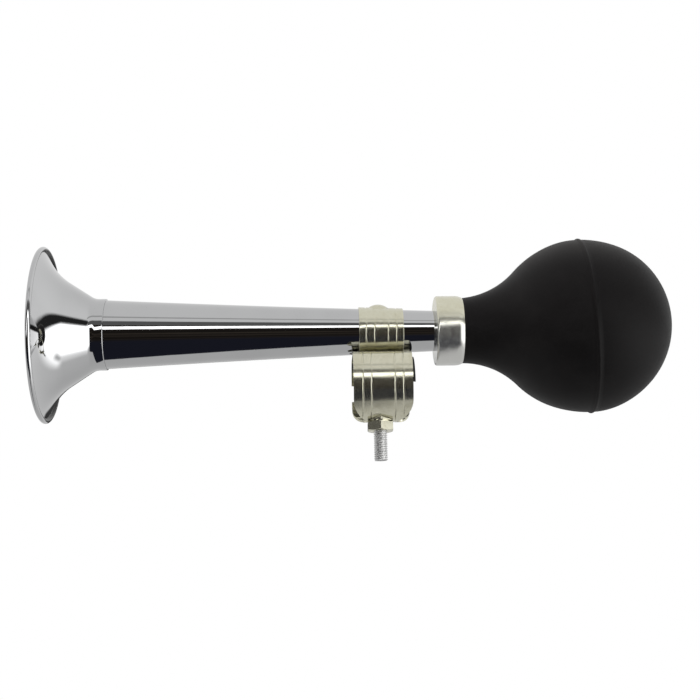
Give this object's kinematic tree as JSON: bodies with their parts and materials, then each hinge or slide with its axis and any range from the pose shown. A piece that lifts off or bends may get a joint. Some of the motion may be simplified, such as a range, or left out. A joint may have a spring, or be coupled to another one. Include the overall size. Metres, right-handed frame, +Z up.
{
  "type": "bulb horn",
  "caption": "Hand-squeezed bulb horn: chromed flared bell on a tapered tube, rubber bulb with a reed in its neck, and a swivelling band clamp for a handlebar.",
  "frame": {"origin": "middle of the handlebar in the clamp band", "axes": "+X along the horn towards the bulb, and along the clamp's axis as pictured; +Z up from the bar to the horn"},
  "size_m": [0.2299, 0.0644, 0.0812],
  "materials": {
    "chrome": "polished chrome plate on sheet steel",
    "nickel": "bright nickel plate on sheet steel, slightly warm",
    "steel": "plain zinc-bright steel",
    "brass": "plain brass",
    "liner": "thin black rubber strip",
    "bush": "turned hard rubber",
    "bulb_rubber": "satin black moulded rubber with a raised parting seam"
  },
  "bodies": {
    "bar_clamp": {"bar_band": "nickel", "band_liner": "liner", "swivel_rivet": "steel", "clamp_nut": "nickel"},
    "horn": {"bell": "chrome", "rim_wire": "steel", "horn_tube": "chrome", "tube_strap": "nickel", "strap_rivet": "nickel", "rivet_mandrel": "steel", "ferrule": "nickel", "neck_bush": "bush", "bulb_front": "bulb_rubber", "reed_plug": "brass", "shallot": "brass", "reed_clip": "brass"},
    "bulb_end": {"bulb_rear": "bulb_rubber"},
    "reed": {"reed_tongue": "brass"},
    "clamp_foot": {"clamp_pad": "brass"},
    "screw": {"clamp_screw": "steel"}
  },
  "joints": [
    {"name": "clamp_swivel", "type": "hinge", "parent": "bar_clamp", "child": "horn", "pos_m": [-0.0009, 0, 0.0123], "axis": [0, 0, 1], "range_deg": [-90, 90]},
    {"name": "pad_travel", "type": "slide", "parent": "bar_clamp", "child": "clamp_foot", "axis": [0, 0, 1], "range_m": [0, 0.004]},
    {"name": "screw_turn", "type": "hinge", "parent": "clamp_foot", "child": "screw", "pos_m": [-0.0009, 0, -0.02], "axis": [0, 0, 1], "continuous": true},
    {"name": "bulb_squeeze", "type": "slide", "parent": "horn", "child": "bulb_end", "axis": [-0.9996, 0, -0.0279], "range_m": [0, 0.022], "stiffness_N_per_m": 900, "deforming": ["bulb_front", "bulb_rear"]},
    {"name": "reed_beat", "type": "hinge", "parent": "horn", "child": "reed", "pos_m": [0.0277, 0, 0.02223], "axis": [0, 1, 0], "range_deg": [-2, 3], "stiffness_Nm_per_rad": 0.02}
  ],
  "couplings": [
    {"joint": "screw_turn", "follows": "pad_travel", "rad_per_m": 7854}
  ]
}
